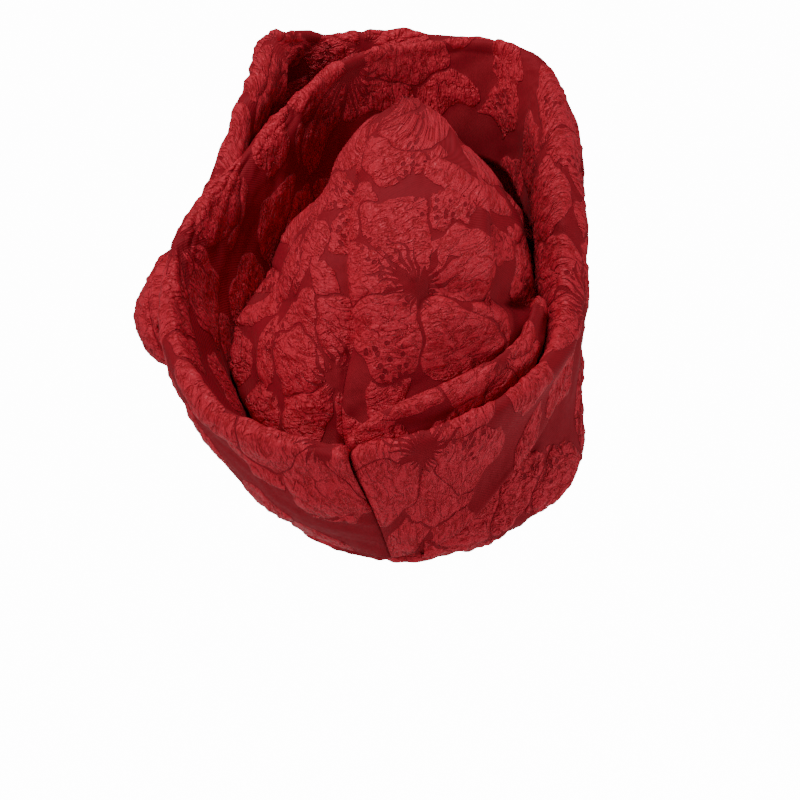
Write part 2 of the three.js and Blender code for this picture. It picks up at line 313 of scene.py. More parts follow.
band_surface = folded_wall(BAND_SECTIONS, lambda row: [
    (row["footReach"], row["footHeight"], 1), (row["bellyReach"], row["bellyHeight"], 0.6),
    *rolled_rim(row), (row["innerReach"], row["innerHeight"], 0)])
tuck_surface = folded_wall(TUCK_SECTIONS, lambda row: [
    (row["footReach"], row["footHeight"], 0), *rolled_rim(row),
    (row["innerReach"], row["innerHeight"], 0)])
wrap_surface = folded_wall(WRAP_SECTIONS, lambda row: [
    (row["footReach"], row["footHeight"], 0), (row["bellyReach"], row["bellyHeight"], 0),
    (row["shoulderReach"], row["shoulderHeight"], 0), *rolled_rim(row),
    (row["innerReach"], row["innerHeight"], 0)])
print("the band's foot starts at", band_surface(np.zeros(1), np.zeros(1)).round(1)[0], "mm")

# %% [markdown]
# The cap's two panels share their rings and meet at the seam, which wanders as it climbs. Each
# ring is a half ellipse with its own width to the left, right, back and front. To the right of
# the ridge the ring sinks in, which gives the cap its slack side.

# %% Surface of the cap
CAP_SINK = {"rise": 30, "fades": 105, "ends": 165}


def smoothstep(low, high, x):
    t = np.clip((x - low) / (high - low), 0, 1)
    return t * t * (3 - 2 * t)


def plateau(x, start, full, fades, ends):
    return smoothstep(start, full, x) * (1 - smoothstep(fades, ends, x))


def ring_place(ring, angle):
    turn = np.radians(angle)
    out, back = np.sin(turn), np.cos(turn)
    tilt = (ring["backHeight"] - ring["frontHeight"]) / 2
    full = ring["ridge"] + CAP_SINK["rise"]
    sunk = plateau(angle, ring["ridge"], full, CAP_SINK["fades"], CAP_SINK["ends"])
    width = 1 - sunk * ring["sink"] / ring["right"]
    return np.stack([
        ring["middleX"] + width * out * np.where(out > 0, ring["right"], ring["left"]),
        ring["middleY"] - width * back * np.where(back > 0, ring["back"], ring["front"]),
        (ring["backHeight"] + ring["frontHeight"]) / 2 + tilt * back], axis=-1)


def cap_surface(side):
    def surface(along, across):
        share = along if side > 0 else 1 - along
        stations = []
        for i in range(len(CAP_RINGS["seam"])):
            ring = {name: column[i] for name, column in CAP_RINGS.items()}
            stations.append(ring_place(ring, ring["seam"] + share * (side * 180 - ring["seam"])))
        return curve_through(stations, across)
    return surface


print("the cap's point lies at", cap_surface(1)(np.zeros(1), np.ones(1)).round(1)[0], "mm")

# %% [markdown]
# Cloth is never as even as a curve. Wrinkles come from a lattice of seeded random slopes, blended
# smoothly between the lattice points. One call makes soft lumps. Folding the lumps up at zero
# makes puffs with sharp valleys between them, which is how crinkled cloth looks. A seed is given
# with every call, so that the cloth is the same in each run.

# %% Lumps and crinkles
LATTICE = {"size": 256, "height": 1.5}
CRINKLE = {"slow": 0.6, "fast": 1.9, "broad": 1.6, "narrow": 0.7, "level": 0.8}


def lumps(x, y, seed):
    x0, y0 = np.floor(x).astype(int), np.floor(y).astype(int)
    fx, fy = x - x0, y - y0
    size = LATTICE["size"]
    slopes = np.random.default_rng(seed).uniform(0, 2 * math.pi, (size, size))

    def corner(i, j):
        turn = slopes[(x0 + i) % size, (y0 + j) % size]
        return np.cos(turn) * (fx - i) + np.sin(turn) * (fy - j)

    sx, sy = fx**3 * (fx * (6 * fx - 15) + 10), fy**3 * (fy * (6 * fy - 15) + 10)
    low = corner(0, 0) * (1 - sx) + corner(1, 0) * sx
    high = corner(0, 1) * (1 - sx) + corner(1, 1) * sx
    return LATTICE["height"] * (low * (1 - sy) + high * sy)


def crinkle(x, y, size, seed):
    x, y = x / size[0], y / size[1]
    bend = lumps(CRINKLE["slow"] * x, CRINKLE["slow"] * y, seed + 1)
    broad = np.abs(lumps(x + 0.5 * bend, y + 0.8 * bend, seed + 2))
    narrow = np.abs(lumps(CRINKLE["fast"] * x + bend, CRINKLE["fast"] * y - bend, seed + 3))
    return CRINKLE["broad"] * broad + CRINKLE["narrow"] * narrow - CRINKLE["level"]


sample = crinkle(*np.mgrid[0:100.0, 0:100.0], size=(11, 5), seed=1)
print("crinkles run from", round(float(sample.min()), 2), "to", round(float(sample.max()), 2))

# %% [markdown]
# The cloth is a jacquard whose flowers puff up from a flat ribbed ground. A flower is a ring of
# broad petals with torn edges, and single leaves lie between. They could be painted on, but
# here each petal is measured as the distance inside its outline, in millimetres, because a
# distance stays smooth between mesh points and gives a crisp edge at any size.

# %% Petals and leaves
PETAL_LOBES = {3: 0.08, 5: 0.07, 8: 0.04, 13: 0.015}
FLOWER = {"swing": 0.13, "length": (0.38, 0.45), "width": (0.29, 0.36), "taper": 0.45, "heart": 0.05}
OUTSIDE = -99.0


def petal(x, y, length, width, taper, phase):
    x, y = x / (length / 2), y / (width / 2)
    y = y / (1 + taper * np.clip(x, -1.2, 1.2))
    turn = np.arctan2(y, x)
    wave = 1
    for lobes, depth in PETAL_LOBES.items():
        wave = wave + depth * np.sin(lobes * turn + 0.7 * lobes * phase)
    far = np.maximum(np.hypot(x, y) / wave, 1e-4)
    slope = np.hypot(x / (length / 2), y / (width / 2)) / wave
    return far * (1 - far) / np.maximum(slope, 1e-6)


def turned(x, y, degrees):
    c, s = math.cos(math.radians(degrees)), math.sin(math.radians(degrees))
    return c * x + s * y, c * y - s * x


def flower(x, y, size, turn, petals, seed):
    dice = np.random.default_rng(seed)
    layers = [np.full(x.shape, OUTSIDE), np.full(x.shape, OUTSIDE)]
    for i in range(petals):
        swing = dice.uniform(-FLOWER["swing"], FLOWER["swing"])
        px, py = turned(x, y, turn + 360 * (i + swing) / petals)
        length, width = size * dice.uniform(*FLOWER["length"]), size * dice.uniform(*FLOWER["width"])
        px = px - length / 2 - FLOWER["heart"] * size
        part = petal(px, py, length, width, FLOWER["taper"], dice.uniform(0, 6))
        layers[i % 2] = np.maximum(layers[i % 2], part)
    return layers


middle_depth = petal(np.zeros(1), np.full(1, 0.01), length=40, width=30, taper=0.2, phase=1)
print("a petal's middle lies", round(float(middle_depth[0]), 1), "mm inside")

# %% [markdown]
# A sheet starts as a flat grid and every grid point is moved to its place on the surface. The
# lengths along and across the moved grid are summed up, so that flowers can be laid on in
# millimetres of cloth, however the strip bends. Folds and puffs are later heights along the
# direction in which the cloth faces outwards.


# %% Lay out a sheet
def lay_out(name, surface, columns, rows, axis=None):
    grid = bmesh.new()
    grid.loops.layers.uv.new("cloth")
    bmesh.ops.create_grid(grid, x_segments=columns, y_segments=rows, size=0.5, calc_uvs=True)
    made = bpy.data.meshes.new(name)
    grid.to_mesh(made)
    grid.free()
    flat = np.empty(len(made.vertices) * 3)
    made.vertices.foreach_get("co", flat)
    along, across = flat.reshape(-1, 3)[:, 0] + 0.5, flat.reshape(-1, 3)[:, 1] + 0.5
    order = np.lexsort((across, along))
    shape = (len(np.unique(np.round(along, 6))), -1)
    along, across = along[order].reshape(shape), across[order].reshape(shape)
    place = surface(along.ravel(), across.ravel()).reshape(*along.shape, 3)
    x = np.pad(np.cumsum(np.linalg.norm(np.diff(place, axis=0), axis=2), axis=0), ((1, 0), (0, 0)))
    y = np.pad(np.cumsum(np.linalg.norm(np.diff(place, axis=1), axis=2), axis=1), ((0, 0), (1, 0)))
    middle = x - x[int(axis * columns)] if axis is not None else x.mean(axis=1, keepdims=True) + 0 * x
    print(name, "is laid out on", along.shape[0], "by", along.shape[1], "points")
    return {"name": name, "mesh": made, "order": order, "along": along, "across": across,
            "place": place, "x": x, "y": y, "weave": (middle, y)}


def outward(place):
    way = np.cross(np.gradient(place, axis=0), np.gradient(place, axis=1))
    return way / np.maximum(np.linalg.norm(way, axis=2, keepdims=True), 1e-9)


def raised(cloth, height):
    return cloth["place"] + outward(cloth["place"]) * height[..., None]


# %% [markdown]
# The flowers that show most are listed one by one for each piece: where their middle lies along
# and across the strip, how large they are and how they are turned. A seeded scatter fills the rest
# and keeps its distance. Two layers of petals are kept apart, so that the thin dark line between
# overlapping petals stays sharp.

# %% Places on a sheet
TRIES = 1500


def on_grid(cloth, rows):
    last = np.array(cloth["x"].shape) - 1
    return [(tuple(np.round(np.array(row[:2]) * last).astype(int)), *row[2:]) for row in rows]


def offsets(cloth, spot):
    x, y = cloth["x"], cloth["y"]
    return x - x[spot[0]], y - y[:, spot[1]][:, None]


def apart(cloth, a, b):
    x, y = cloth["x"], cloth["y"]
    return math.hypot(x[a[0], a[1]] - x[b[0], a[1]], y[a[0], a[1]] - y[a[0], b[1]])


def random_spots(cloth, dice, others, distance):
    for _ in range(TRIES):
        spot = tuple(int(dice.integers(count)) for count in cloth["x"].shape)
        if all(apart(cloth, spot, other[0]) > distance for other in others):
            yield spot


# %% Flowers on a sheet
BLOOM = {"apart": 108, "size": (112, 130), "petals": 5, "comb": (0.37, 0.31)}
PETAL_GAP, LEAF_GAP = 0.7, 1.6


def lay_flowers(cloth, rows, dice, seed):
    blooms = on_grid(cloth, rows)
    for spot in random_spots(cloth, dice, blooms, BLOOM["apart"]):
        blooms.append((spot, dice.uniform(*BLOOM["size"]), dice.uniform(0, 360), BLOOM["petals"]))
    shape = cloth["x"].shape
    upper, under = np.full(shape, OUTSIDE), np.full(shape, OUTSIDE)
    middle, nearest = np.zeros((*shape, 3)), np.full(shape, 1e9)
    for i, (spot, size, turn, petals) in enumerate(blooms):
        dx, dy = offsets(cloth, spot)
        near = np.hypot(dx, dy) / size
        closer = near < nearest
        nearest = np.where(closer, near, nearest)
        comb = smoothstep(*BLOOM["comb"], near)
        middle[closer] = np.stack([dx / size, dy / size, comb], axis=-1)[closer]
        first, second = flower(dx, dy, size, turn, petals, seed + i)
        upper, under = np.maximum(upper, first), np.maximum(under, second)
    cloth["upper"], cloth["under"] = upper, np.minimum(under, -upper - PETAL_GAP)
    cloth["bloom"], cloth["from_heart"] = middle, nearest
    return len(blooms)


# %% Leaves on a sheet
LEAF = {"apart": 31, "clear": -7, "from_heart": 0.28, "length": (34, 48), "width": (20, 30), "taper": 0.25}


def lay_leaves(cloth, rows, dice):
    petals = np.maximum(cloth["upper"], cloth["under"])
    leaves = on_grid(cloth, rows)
    for spot in random_spots(cloth, dice, leaves, LEAF["apart"]):
        if petals[spot] < LEAF["clear"] and cloth["from_heart"][spot] > LEAF["from_heart"]:
            leaves.append((spot, dice.uniform(*LEAF["length"]), dice.uniform(*LEAF["width"]),
                           dice.uniform(0, 180)))
    between = np.full(petals.shape, OUTSIDE)
    for spot, length, width, turn in leaves:
        lx, ly = turned(*offsets(cloth, spot), turn)
        shape = petal(lx, ly, length, width, LEAF["taper"], 0.13 * length * width)
        between = np.maximum(np.minimum(between, -shape - PETAL_GAP), shape)
    between = np.minimum(between, -petals - LEAF_GAP)
    cloth["under"] = np.maximum(cloth["under"], between)
    return len(leaves)


def embroider(cloth, flowers, leaves, seed):
    dice = np.random.default_rng(seed)
    bloom_count = lay_flowers(cloth, flowers, dice, seed)
    leaf_count = lay_leaves(cloth, leaves, dice)
    cloth["inside"] = np.maximum(cloth["upper"], cloth["under"])
    share = round(float((cloth["inside"] > 0).mean()) * 100)
    print(cloth["name"], "has", bloom_count, "flowers and", leaf_count, "leaves on", share, "% of its cloth")


# %% [markdown]
# The petals stand up from the ground as small pillows, and fine crinkles run over them, because
# their threads shrank when the cloth was finished. A bump in the material alone would leave the
# outline smooth, so the pillows and the larger crinkles are real heights of the mesh.

# %% Puffs
PUFF = {"edge": (-1.0, 4.5), "fine": (11, 5), "broad": (26, 18), "broad_height": 0.4}


def puff(cloth, seed, lift=1.3, wrinkle=0.95):
    inside = smoothstep(*PUFF["edge"], cloth["inside"])
    x, y = cloth["weave"]
    fine = crinkle(x, y, PUFF["fine"], seed)
    return inside * (lift + wrinkle * fine) + PUFF["broad_height"] * crinkle(x, y, PUFF["broad"], seed + 9)


# %% [markdown]
# A finished sheet gets its points, a map in centimetres of cloth for the weave, and the measured
# petals as attributes that the material reads. A Solidify modifier then gives the cloth its
# thickness, half to each side, which is simpler than modelling both faces.

# %% Fill a mesh
CENTIMETRE = 10
DEEPEST = 15


def store(mesh, name, kind, field, values):
    attribute = mesh.attributes.new(name, kind, "POINT")
    attribute.data.foreach_set(field, np.ascontiguousarray(values, dtype=np.float32).ravel())


def fill_mesh(cloth, place):
    mesh, order = cloth["mesh"], cloth["order"]
    back = np.empty(len(order), dtype=int)
    back[order] = np.arange(len(order))
    mesh.vertices.foreach_set("co", (place.reshape(-1, 3)[back] * MM).ravel())
    for name in ("upper", "under"):
        store(mesh, name, "FLOAT", "value", np.clip(cloth[name].ravel()[back], -DEEPEST, DEEPEST))
    store(mesh, "bloom", "FLOAT_VECTOR", "vector", cloth["bloom"].reshape(-1, 3)[back])
    corners = np.empty(len(mesh.loops), dtype=int)
    mesh.loops.foreach_get("vertex_index", corners)
    flat = np.stack([part.ravel() for part in cloth["weave"]], axis=-1)[back][corners] / CENTIMETRE
    mesh.uv_layers["cloth"].data.foreach_set("uv", flat.ravel())
    mesh.polygons.foreach_set("use_smooth", np.ones(len(mesh.polygons), dtype=bool))
    mesh.update()
    return mesh


# %% Finish a sheet
WALL = 1.5


def finish_sheet(cloth, height, node):
    place = raised(cloth, height)
    mesh = fill_mesh(cloth, place)
    piece = bpy.data.objects.new(cloth["name"], mesh)
    bpy.context.scene.collection.objects.link(piece)
    mesh.materials.append(red_cloth)
    wall = piece.modifiers.new("wall", "SOLIDIFY")
    wall.thickness = WALL * MM
    wall.offset = 0
    span = np.linalg.norm(np.diff(place, axis=0), axis=2)
    rise = np.linalg.norm(np.diff(place, axis=1), axis=2)
    area = float((span[:, 1:] * rise[1:]).sum()) * MM * MM
    width = float(rise.sum(axis=1).mean()) * MM
    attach(piece, "root")
    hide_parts(node)
    cut = (round(width, 3), round(area / width, 3))
    print(node, "is cut", cut[0], "by", cut[1], "m, with", len(mesh.polygons), "faces")
    return mesh


# %% [markdown]
# Soft cloth leans on its neighbours. A ray goes out from every point of a sheet, and where it
# meets a finished piece close by, the sheet moves out until only a small gap is left. A cloth
# simulation with collisions could do this too, but it would lose the placed folds. The distances
# are averaged with those of the points around, so that the sheet stays smooth.

# %% Lean on a neighbour
SLUMP = {"gap": 3, "near": 12, "far": 26, "smoothing": 12}


def wall_of(mesh):
    return BVHTree.FromPolygons([v.co for v in mesh.vertices], [face.vertices for face in mesh.polygons])


def averaged(values, axis):
    ends = [(1, 1) if i == axis else (0, 0) for i in (0, 1)]
    wide = np.pad(values, ends, mode="edge")
    count = values.shape[axis]
    return (np.take(wide, range(count), axis) + values + np.take(wide, range(2, count + 2), axis)) / 3


def slump(cloth, height, walls):
    place = raised(cloth, height)
    reach = np.full(place.shape[:2], SLUMP["far"], dtype=float)
    way = outward(place)
    for spot in np.ndindex(reach.shape):
        for wall in walls:
            hit = wall.ray_cast(Vector(place[spot] * MM), Vector(way[spot]), SLUMP["far"] * MM)
            if hit[0]:
                reach[spot] = min(reach[spot], hit[3] / MM)
    lean = np.maximum(reach - SLUMP["gap"], 0) * smoothstep(SLUMP["far"], SLUMP["near"], reach)
    for _ in range(SLUMP["smoothing"]):
        for axis in (0, 1):
            lean = averaged(lean, axis)
    print(cloth["name"], "can lean out by up to", round(float(lean.max()), 1), "mm")
    return lean


# %% [markdown]
# Shaders are sums of small nodes. This class wraps one output socket, so that nodes can be
# written as Python sums: every operator adds a Math node, and one method adds any other node by
# its type, settings and sockets. Adding each node and link by hand would hide the formula.


# %% Shader expressions
class Socket:
    tree = None

    def __init__(self, out):
        self.out = out

    @classmethod
    def node(cls, kind, settings=None, output=0, **sockets):
        made = cls.tree.nodes.new(kind)
        for name, value in (settings or {}).items():
            setattr(made, name, value)
        for name, value in sockets.items():
            entry = made.inputs[int(name[1:]) if name[1:].isdigit() else name.replace("_", " ")]
            if isinstance(value, Socket):
                cls.tree.links.new(value.out, entry)
            else:
                entry.default_value = value
        return cls(made.outputs[output])

    def maths(self, operation, other=0.0):
        return Socket.node("ShaderNodeMath", {"operation": operation}, s0=self, s1=other)

    def __add__(self, other):
        return self.maths("ADD", other)

    def __sub__(self, other):
        return self.maths("SUBTRACT", other)

    def __rsub__(self, other):
        return Socket.node("ShaderNodeMath", {"operation": "SUBTRACT"}, s0=other, s1=self)

    def __mul__(self, other):
        return self.maths("MULTIPLY", other)

    def __truediv__(self, other):
        return self.maths("DIVIDE", other)

    __radd__, __rmul__ = __add__, __mul__

    def step(self, low, high):
        settings = {"interpolation_type": "SMOOTHSTEP"}
        return Socket.node("ShaderNodeMapRange", settings, Value=self, From_Min=low, From_Max=high)

    def blend(self, first, second):
        return Socket.node("ShaderNodeMix", {"data_type": "RGBA"}, output=2, s0=self, s6=first, s7=second)


# %% [markdown]
# In the loom, petals and ground are two different weaves. A mask tells them apart. It comes from
# the measured distances, made a little ragged by noise. Some petals have small holes, and a comb
# of thin slits fans out round a flower's middle. It is drawn from each point's place in its
# flower, as an angle and a distance, because slits this thin would need too fine a mesh.

# %% Mask of the petals
RAGGED = 1.6
HOLES = {"density": 1.7, "edge": (0.26, 0.2), "patches": (0.68, 0.72)}
COMB = {"fingers": 25, "sway": 0.12, "heart": 0.03, "shortest": 0.06, "longer": 0.2, "edge": (0.012, -0.004)}


def attribute(name, output):
    return Socket.node("ShaderNodeAttribute", {"attribute_name": name}, output=output)


def noise(vector, scale, detail, distortion=0.0):
    return Socket.node("ShaderNodeTexNoise", {"noise_dimensions": "2D"},
                       Vector=vector, Scale=scale, Detail=detail, Distortion=distortion)


def comb_of_slits(cloth):
    bloom = attribute("bloom", "Vector")
    bx, by, ring = (Socket.node("ShaderNodeSeparateXYZ", output=axis, Vector=bloom) for axis in "XYZ")
    slow = noise(cloth, scale=0.6, detail=0.0) - 0.5
    turn = (by.maths("ARCTAN2", bx) / math.tau + COMB["sway"] * slow) * COMB["fingers"]
    spike = 1 - ((turn.maths("FRACT") - 0.5) * 2).maths("ABSOLUTE")
    length = Socket.node("ShaderNodeTexWhiteNoise", {"noise_dimensions": "1D"}, W=turn.maths("FLOOR"))
    away = (bx * bx + by * by).maths("SQRT")
    fan = 0.4 + 0.6 * (by / (away + 0.001)).step(-0.7, 0.4)
    reach = COMB["heart"] + (COMB["shortest"] + COMB["longer"] * length) * spike * fan
    return ring * (away - reach).step(*COMB["edge"])


def petal_mask(cloth):
    ragged = noise(cloth, scale=2.2, detail=2.0) - 0.5
    inside = attribute("upper", "Fac").maths("MAXIMUM", attribute("under", "Fac")) + RAGGED * ragged
    dots = Socket.node("ShaderNodeTexVoronoi", {"voronoi_dimensions": "2D"},
                       Vector=cloth, Scale=HOLES["density"])
    patches = noise(cloth, scale=0.28, detail=0.0).step(*HOLES["patches"])
    holes = dots.step(*HOLES["edge"]) * patches
    return inside, inside.step(-0.3, 0.3) * (1 - comb_of_slits(cloth)) * (1 - holes)


# %% [markdown]
# The cloth's material: the flat ground is a dark ribbed twill, and the raised petals are a
# lighter, crinkled satin weave with a glinting sheen. Crinkles are noise folded up at its middle
# value, and they raise the petals. They are painted on the petals too: painted shade makes their
# valleys thin dark lines, a painted highlight lightens their crests, and fine specks of noise are
# painted glints.

# %% Jacquard cloth
GROUND = (0.25, 0.0045, 0.012, 1)
PETAL = (0.51, 0.0165, 0.031, 1)
RELIEF = {"puff": 0.35, "fold": 0.55, "thread": 0.3, "rib": 0.07, "strength": 0.95, "depth": 0.0015}
# Weights of the painted light on the petals: painted shade in the crinkle valleys, painted highlight on their
# crests, and painted glints from fine specks of noise.
SHADING = {"fold": 0.6, "thread": 0.4, "painted_glints": 0.8}
ROUGHNESS = {"ground": 0.68, "smoother": 0.2}
SQUEEZE = 1.8
GLINT = {
    "Sheen Weight": 0.04, "Sheen Roughness": 0.4, "Sheen Tint": (1, 0.38, 0.42, 1),
    "Specular IOR Level": 0.26, "Specular Tint": (1, 0.46, 0.5, 1),
}


def tinted(colour, red, rest):
    return (colour[0] * red, colour[1] * rest, colour[2] * rest, 1)


def folded(value, steepness):
    return (value.maths("ABSOLUTE") * steepness).maths("MINIMUM", 1.0)


def jacquard():
    material = bpy.data.materials.new("jacquard")
    material.use_nodes = True
    Socket.tree = tree = material.node_tree
    shader = tree.nodes["Principled BSDF"]
    cloth = Socket.node("ShaderNodeUVMap", {"uv_map": "cloth"})
    inside, mask = petal_mask(cloth)

    along, across = (Socket.node("ShaderNodeSeparateXYZ", output=axis, Vector=cloth) for axis in "XY")
    drawn = Socket.node("ShaderNodeCombineXYZ", X=along, Y=across * SQUEEZE)
    fold = folded(noise(drawn, scale=0.9, detail=2.0, distortion=0.6) - 0.5, steepness=9)
    fine = noise(drawn, scale=2.6, detail=2.3, distortion=0.3) - 0.5
    thread = folded(fine, steepness=7)
    ribs = Socket.node("ShaderNodeTexWave", {"bands_direction": "DIAGONAL"},
                       Vector=cloth, Scale=4.2, Distortion=0.4, Detail=1.0)
    crinkles = RELIEF["puff"] * inside.step(-0.5, 2.0) + RELIEF["fold"] * fold + RELIEF["thread"] * thread
    height = mask * crinkles + (1 - mask) * RELIEF["rib"] * ribs
    bump = Socket.node("ShaderNodeBump", Strength=RELIEF["strength"], Distance=RELIEF["depth"], Height=height)

    # Painted glints: fine specks of noise that lighten and darken the petal colour.
    painted_glints = noise(cloth, scale=9.0, detail=1.0) - 0.5
    painted_shade_and_glint = SHADING["fold"] * fold + SHADING["thread"] * thread + SHADING["painted_glints"] * painted_glints
    # The crinkles blend a shaded, darker copy of the petal colour with a lit, lighter copy: painted shade and
    # painted highlight.
    petals = painted_shade_and_glint.step(0.0, 0.8).blend(tinted(PETAL, red=0.68, rest=0.5), tinted(PETAL, red=1.1, rest=1.3))
    twill = ribs * 0.6 + fine + 0.2
    ground = twill.blend(tinted(GROUND, red=0.85, rest=0.8), tinted(GROUND, red=1.1, rest=1.2))
    tree.links.new(mask.blend(ground, petals).out, shader.inputs["Base Color"])
    tree.links.new((ROUGHNESS["ground"] - ROUGHNESS["smoother"] * mask).out, shader.inputs["Roughness"])
    tree.links.new(bump.out, shader.inputs["Normal"])
    for name, value in GLINT.items():
        shader.inputs[name].default_value = value
    print("jacquard has", len(tree.nodes), "nodes")
    return material


red_cloth = jacquard()

# %% [markdown]
# Three kinds of fold come back in several pieces, so each gets a helper: a round swelling or
# groove, slow sags of the whole piece, and the small gathers that a seam or a hem pulls in.
# A sag is read from the place in space, so that it runs on from one panel to the next.

# %% Soft folds
SAGS = {
    "band": {"sideways": (40, 0, 40, 3), "deep": (40, 9, 30, 0), "seed": 23},
    "cap": {"sideways": (38, 7, 38, 0), "deep": (30, 0, 26, 0), "seed": 7},
    "wrap": {"sideways": (36, 0, 36, 5), "deep": (40, 4, 30, 0), "seed": 33},
}


def bell(x, middle, width):
    return np.exp(-((x - middle) / width) ** 2)


def sag(place, name):
    row = SAGS[name]
    total = 0
    for axis, way in enumerate(("sideways", "deep")):
        size, shift, tall, up = row[way]
        total = total + lumps(place[..., axis] / size + shift, place[..., 2] / tall + up, row["seed"] + axis)
    return total


def gathers(run, away, fade, wave, size, seed):
    return np.exp(-away / fade) * np.sin(run / wave + 2 * lumps(run / size[0], away / size[1], seed))


print("a bell is", round(float(bell(1.0, 0, 1)), 2), "high one width from its middle")

# %% [markdown]
# The band is one long doubled strip. Its rim rolls over, and on the wearer's right the roll is
# fat and gathered into cross wrinkles. On the left, creases run along its inner side and a lip
# stands up below the rim. At the brow the inner side is hollow and shows two patches of bare,
# darker ground. They lie where the hollow is in shade and add painted shade to it. At the back
# the ends meet at a slanted seam, and the foot beside it stands a little loose. One sheet is used
# for all of it, because the flowers run over the rim without a break.

# %% Band: flowers and folds
BAND_FLOWERS = [(0.054, 0.355, 118, 335, 6)]
BAND_LEAVES = [
    (0.944, 0.334, 60, 38, 10), (0.922, 0.42, 50, 22, 20), (0.97, 0.224, 30, 18, 0),
    (0.756, 0.819, 44, 36, 40), (0.705, 0.803, 36, 30, 60), (0.804, 0.759, 34, 32, 0),
    (0.653, 0.86, 40, 28, 30), (0.846, 0.722, 44, 26, 20), (0.713, 0.92, 34, 26, 90),
]
# Two patches without petals where the hollow behind the cap is in shade: their darker bare ground is partly
# painted shade.
BAND_BARE = [(0.463, 0.96, 44, 34), (0.592, 0.94, 56, 34)]
BAND_FOLDS = {
    "cross_wrinkles": {"round": (66, 88, 128, 148), "height": 0.9},
    "long_creases": {"round": (205, 225, 320, 340), "height": 1.1},
    "hollow": {"round": (128, 150, 212, 236), "height": -9},
    "loose_foot": {"round": (8, 24, 95, 120), "height": 2.5},
}
BAND_HEIGHTS = {"sag": 1.3, "small_sag": 0.5, "lip": 1.3, "groove": 1.6, "seam": 1.2}


def leave_bare(cloth, rows):
    for spot, length, width in on_grid(cloth, rows):
        patch = petal(*offsets(cloth, spot), length, width, taper=0, phase=2)
        for name in ("upper", "under", "inside"):
            cloth[name] = np.minimum(cloth[name], -patch)


def band_height(cloth):
    x, y, across = cloth["x"], cloth["y"], cloth["across"]
    angle = direction(BAND_SECTIONS, cloth["along"])
    folds = {name: fold["height"] * plateau(angle, *fold["round"]) for name, fold in BAND_FOLDS.items()}
    height = puff(cloth, seed=25)
    height += folds["cross_wrinkles"] * smoothstep(0.2, 0.4, across) * crinkle(x, y, size=(5.5, 16), seed=21)
    height += folds["long_creases"] * smoothstep(0.35, 0.6, across) * crinkle(x, y, size=(30, 10), seed=22)
    small_sag = BAND_HEIGHTS["small_sag"] * lumps(x / 15, y / 22, seed=26)
    height += BAND_HEIGHTS["sag"] * (sag(cloth["place"], "band") + small_sag)
    lip = bell(across, 0.42, 0.05) - BAND_HEIGHTS["groove"] * bell(across, 0.31, 0.03)
    height += BAND_HEIGHTS["lip"] * smoothstep(296, 318, angle) * lip
    from_seam = np.minimum(x, x[-1] - x)
    height *= smoothstep(0, 5, from_seam) * (0.1 + 0.9 * smoothstep(0, 5, y))
    height -= BAND_HEIGHTS["seam"] * bell(from_seam, 0, 2.6)
    return height + folds["loose_foot"] * bell(y, 0, 9) + folds["hollow"] * smoothstep(0.68, 0.95, across)


# %% Band
def make_band():
    cloth = lay_out("band_cloth", band_surface, columns=440, rows=106)
    embroider(cloth, BAND_FLOWERS, BAND_LEAVES, seed=11)
    leave_bare(cloth, BAND_BARE)
    cloth["weave"] = cloth["weave"][::-1]
    height = band_height(cloth)
    return finish_sheet(cloth, height, "back_band")


band_wall = wall_of(make_band())

# %% [markdown]
# The tuck is a narrow doubled fold that stands between band and cap. Long wrinkles run along it,
# because it is pulled lengthways into the seam, and its upper end leans on the band. It is a
# sheet of its own, since on the real wrap it comes out from under the band.

# %% Tuck
TUCK_FLOWERS = [(0.62, 0.42, 84, 20, 6)]


def make_tuck():
    cloth = lay_out("tuck_cloth", tuck_surface, columns=150, rows=80)
    embroider(cloth, TUCK_FLOWERS, [], seed=71)
    x, y = cloth["x"], cloth["y"]
    sway = 2.2 * lumps(x / 34, y / 12, seed=72)
    long_wrinkles = np.sin(y / 2.3 + sway) * (0.7 + lumps(x / 26, y / 9, seed=73))
    height = puff(cloth, seed=74, lift=0.7, wrinkle=0.4) + 0.8 * long_wrinkles
    height *= smoothstep(0, 6, x) * smoothstep(0, 6, x[-1] - x)
    height += slump(cloth, height, [band_wall]) * smoothstep(0.5, 0.8, cloth["along"])
    return finish_sheet(cloth, height, "inner_tuck")


tuck_wall = wall_of(make_tuck())

# %% [markdown]
# The cap is sewn from two panels. Along the seams the cloth dips and puckers, a broad valley
# runs up the back seam, and the hem at the nape is gathered. The right panel carries one soft
# ridge that falls from the top, and a crease that crosses its middle. Both follow lines
# given as short tables, because they are folds of this one cap and not of the pattern.

# %% Cap: flowers and folds
CAP_FLOWERS = {1: [(0.17, 0.632, 130, 85, 5)], -1: [(0.985, 0.36, 104, 20, 5)]}
CAP_LEAVES = {
    1: [(0.236, 0.849, 50, 36, 10), (0.351, 0.796, 56, 24, 112), (0.034, 0.756, 50, 26, 68),
        (0.293, 0.488, 44, 32, 60), (0.50, 0.78, 44, 24, 110), (0.52, 0.62, 50, 16, 95)],
    -1: [(0.816, 0.669, 56, 27, 70), (0.934, 0.609, 42, 18, 112), (0.756, 0.355, 46, 24, 105),
         (0.83, 0.482, 46, 38, 30), (0.90, 0.776, 36, 26, 60)],
}
CAP_CREASE = {"along": [0.1, 0.17, 0.21, 0.25, 0.29, 0.34, 0.43, 0.53],
              "across": [0.59, 0.602, 0.632, 0.622, 0.602, 0.572, 0.528, 0.5]}
CAP_RIDGE = {"across": [0.56, 0.625, 0.75, 0.875, 1], "along": [0.29, 0.308, 0.357, 0.484, 0.556]}
CREASE_HEIGHTS = {"below": 4, "groove": 5, "above": 1.5}
RIDGE_HEIGHTS = {"crest": 2.2, "hollow": 6}


